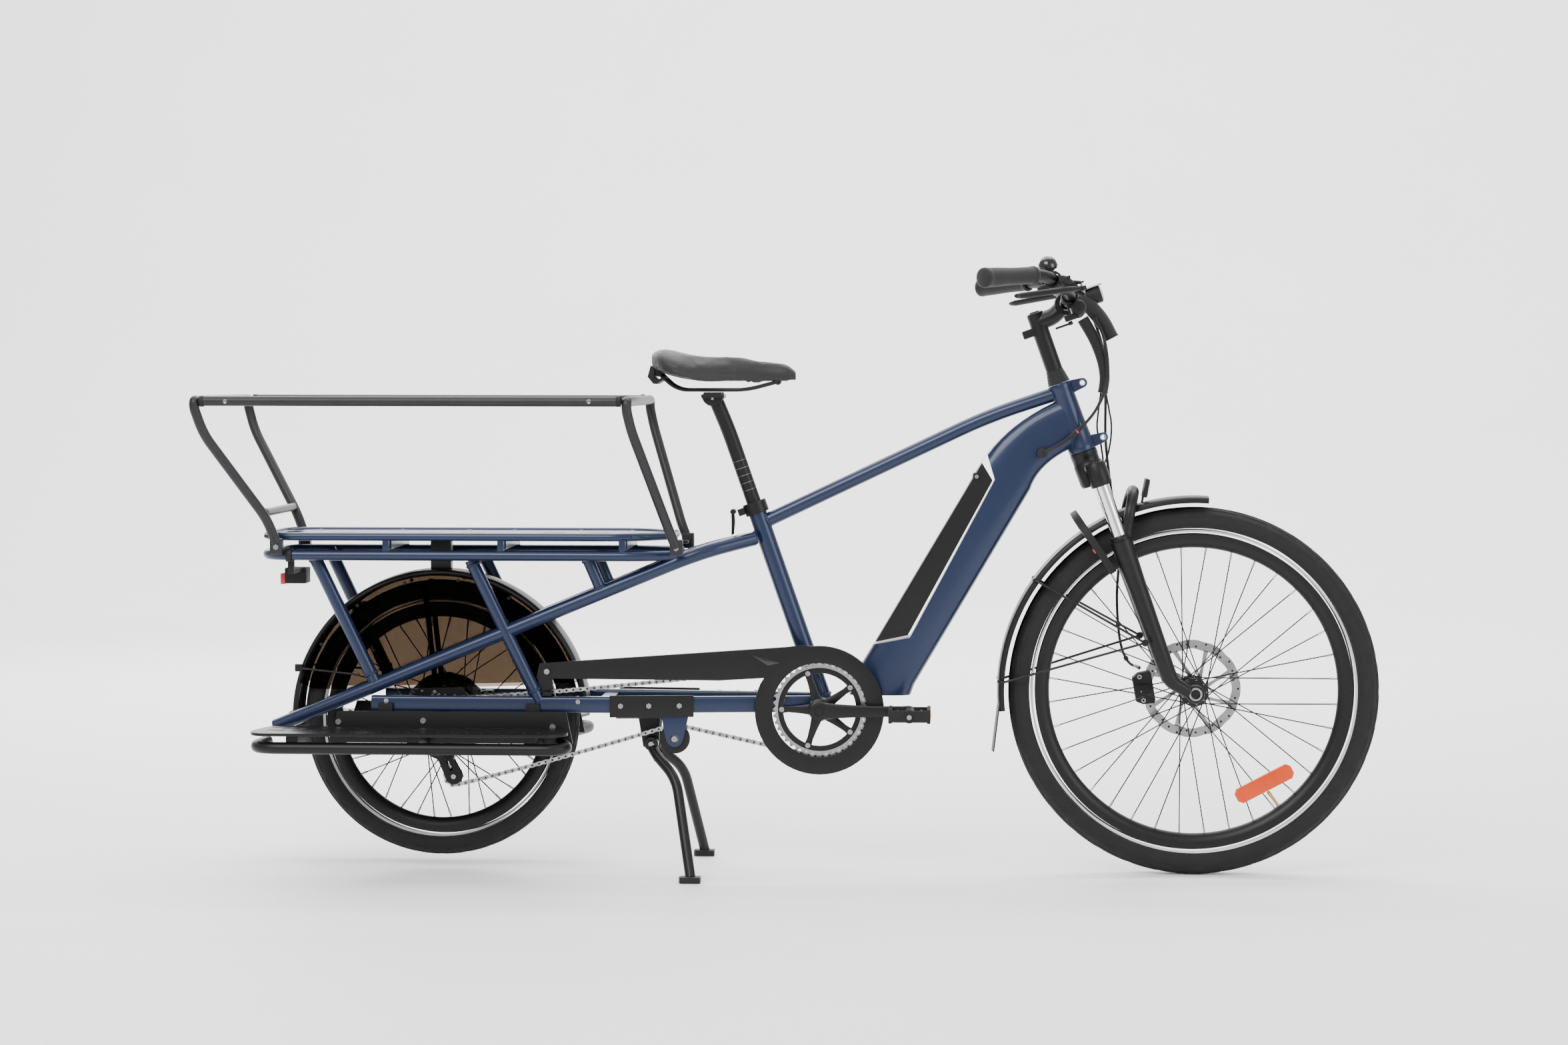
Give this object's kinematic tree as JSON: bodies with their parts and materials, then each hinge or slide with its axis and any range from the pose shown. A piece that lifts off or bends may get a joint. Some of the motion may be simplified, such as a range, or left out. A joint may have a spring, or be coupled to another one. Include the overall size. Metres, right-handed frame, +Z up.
{
  "type": "cargo bicycle",
  "caption": "Long-tail electric cargo bicycle with a rear passenger rail, footboards, suspension fork, disc brakes and a two-leg kickstand.",
  "frame": {"origin": "on the ground under the middle of the bicycle's length, in its middle plane", "axes": "+X forward, +Y to the bicycle's left, +Z up"},
  "size_m": [2.133, 0.628, 1.1219],
  "materials": {
    "aluminium": "satin",
    "amber": "gloss",
    "brass": "satin",
    "chrome": "polished",
    "clear": "clear",
    "frame_blue": "satin metallic",
    "gloss_black": "gloss",
    "matte_black": "matte",
    "rail_grey": "satin",
    "red_lens": "gloss",
    "rubber": "matte",
    "satin_black": "satin",
    "smoke": "smoked",
    "steel": "brushed",
    "tyre": "matte",
    "vinyl": "satin grain"
  },
  "bodies": {
    "frame": {"head_and_top_tube": "frame_blue", "seat_tube": "frame_blue", "down_tube": "frame_blue", "rear_axle": "steel", "chainstays": "frame_blue", "diagonal_stays": "frame_blue", "rack_lower_loop": "frame_blue", "rack_deck": "frame_blue", "rail_rear_hoop": "rail_grey", "rail_front_hoop": "rail_grey", "rail_bar_right": "rail_grey", "rail_bar_left": "rail_grey", "rear_fender": "satin_black", "footboard_right": "satin_black", "footboard_left": "satin_black", "chain_guard": "satin_black", "kickstand_mount": "satin_black", "tail_light": "matte_black", "seat_clamp": "satin_black", "rear_caliper": "satin_black", "chain": "steel", "derailleur": "satin_black", "frame_cables": "rubber"},
    "battery": {"battery": "gloss_black"},
    "seat": {"seatpost": "satin_black", "saddle_base": "matte_black", "saddle": "vinyl"},
    "clamp_lever": {"clamp_lever": "satin_black"},
    "rear_wheel": {"rear_tyre": "tyre", "rear_wheel": "satin_black"},
    "cassette": {"cassette": "steel"},
    "idler": {"idler_pulley": "matte_black"},
    "cranks": {"crankset_right": "satin_black", "crank_left": "satin_black"},
    "pedal_right": {"pedal_right": "satin_black"},
    "pedal_left": {"pedal_left": "satin_black"},
    "kickstand": {"kickstand": "satin_black"},
    "steering": {"fork_crown": "satin_black", "stem": "satin_black", "handlebar": "satin_black", "grip_right": "rubber", "grip_left": "rubber", "brake_master_right": "satin_black", "brake_master_left": "satin_black", "shifter": "matte_black", "bell": "gloss_black", "display": "gloss_black", "headlight": "matte_black"},
    "brake_lever_right": {"brake_lever_right": "satin_black"},
    "brake_lever_left": {"brake_lever_left": "satin_black"},
    "bell_striker": {"bell_striker": "gloss_black"},
    "shift_lever": {"shift_lever": "matte_black"},
    "fork_lowers": {"fork_lowers": "satin_black", "front_fender": "satin_black", "front_caliper": "satin_black", "ring_lock": "matte_black", "front_brake_hose": "rubber"},
    "front_wheel": {"front_tyre": "tyre", "front_wheel": "satin_black", "front_rotor": "steel"}
  },
  "joints": [
    {"name": "steering", "type": "hinge", "parent": "frame", "child": "steering", "pos_m": [0.5284, 0, 0.7726], "axis": [-0.3338, 0, 0.9426], "range_deg": [-60, 60], "deforming": ["frame_cables", "front_brake_hose"]},
    {"name": "fork_suspension", "type": "slide", "parent": "steering", "child": "fork_lowers", "axis": [-0.3338, 0, 0.9426], "range_m": [0, 0.055], "stiffness_N_per_m": 9000, "springref_m": -0.045},
    {"name": "front_wheel_spin", "type": "hinge", "parent": "fork_lowers", "child": "front_wheel", "pos_m": [0.7304, 0, 0.336], "axis": [0, 1, 0], "continuous": true},
    {"name": "rear_wheel_spin", "type": "hinge", "parent": "frame", "child": "rear_wheel", "pos_m": [-0.6496, 0, 0.279], "axis": [0, 1, 0], "continuous": true},
    {"name": "crank_spin", "type": "hinge", "parent": "frame", "child": "cranks", "pos_m": [0.0514, 0, 0.303], "axis": [0, 1, 0], "continuous": true},
    {"name": "cassette_spin", "type": "hinge", "parent": "frame", "child": "cassette", "pos_m": [-0.6496, 0, 0.279], "axis": [0, 1, 0], "continuous": true},
    {"name": "idler_spin", "type": "hinge", "parent": "frame", "child": "idler", "pos_m": [-0.2126, 0, 0.249], "axis": [0, 1, 0], "continuous": true},
    {"name": "pedal_right_spin", "type": "hinge", "parent": "cranks", "child": "pedal_right", "pos_m": [0.2164, -0.128, 0.303], "axis": [0, 1, 0], "continuous": true},
    {"name": "pedal_left_spin", "type": "hinge", "parent": "cranks", "child": "pedal_left", "pos_m": [-0.1136, 0.128, 0.303], "axis": [0, 1, 0], "continuous": true},
    {"name": "kickstand_fold", "type": "hinge", "parent": "frame", "child": "kickstand", "pos_m": [-0.2586, 0, 0.236], "axis": [0, 1, 0], "range_deg": [0, 98]},
    {"name": "battery_release", "type": "slide", "parent": "frame", "child": "battery", "axis": [-0.8623, 0, 0.5064], "range_m": [0, 0.06]},
    {"name": "seatpost_height", "type": "slide", "parent": "frame", "child": "seat", "axis": [-0.3305, 0, 0.9438], "range_m": [0, 0.09]},
    {"name": "clamp_lever_turn", "type": "hinge", "parent": "frame", "child": "clamp_lever", "pos_m": [-0.10968, 0, 0.66092], "axis": [0, 1, 0], "range_deg": [0, 80]},
    {"name": "brake_lever_right_pull", "type": "hinge", "parent": "steering", "child": "brake_lever_right", "pos_m": [0.52087, -0.14769, 1.06431], "axis": [-0.3338, 0, 0.9426], "range_deg": [-12, 0], "stiffness_Nm_per_rad": 1.2},
    {"name": "brake_lever_left_pull", "type": "hinge", "parent": "steering", "child": "brake_lever_left", "pos_m": [0.52087, 0.14769, 1.06431], "axis": [-0.3338, 0, 0.9426], "range_deg": [0, 12], "stiffness_Nm_per_rad": 1.2},
    {"name": "bell_striker_flick", "type": "hinge", "parent": "steering", "child": "bell_striker", "pos_m": [0.46078, -0.1087, 1.10162], "axis": [-0.3338, 0, 0.9426], "range_deg": [0, 25], "stiffness_Nm_per_rad": 0.05},
    {"name": "shift_lever_push", "type": "hinge", "parent": "steering", "child": "shift_lever", "pos_m": [0.50231, -0.07712, 1.00462], "axis": [-0.3338, 0, 0.9426], "range_deg": [0, 30], "stiffness_Nm_per_rad": 0.08}
  ],
  "couplings": [
    {"joint": "cassette_spin", "follows": "crank_spin", "ratio": 2.3333},
    {"joint": "idler_spin", "follows": "crank_spin", "ratio": -3.5}
  ]
}
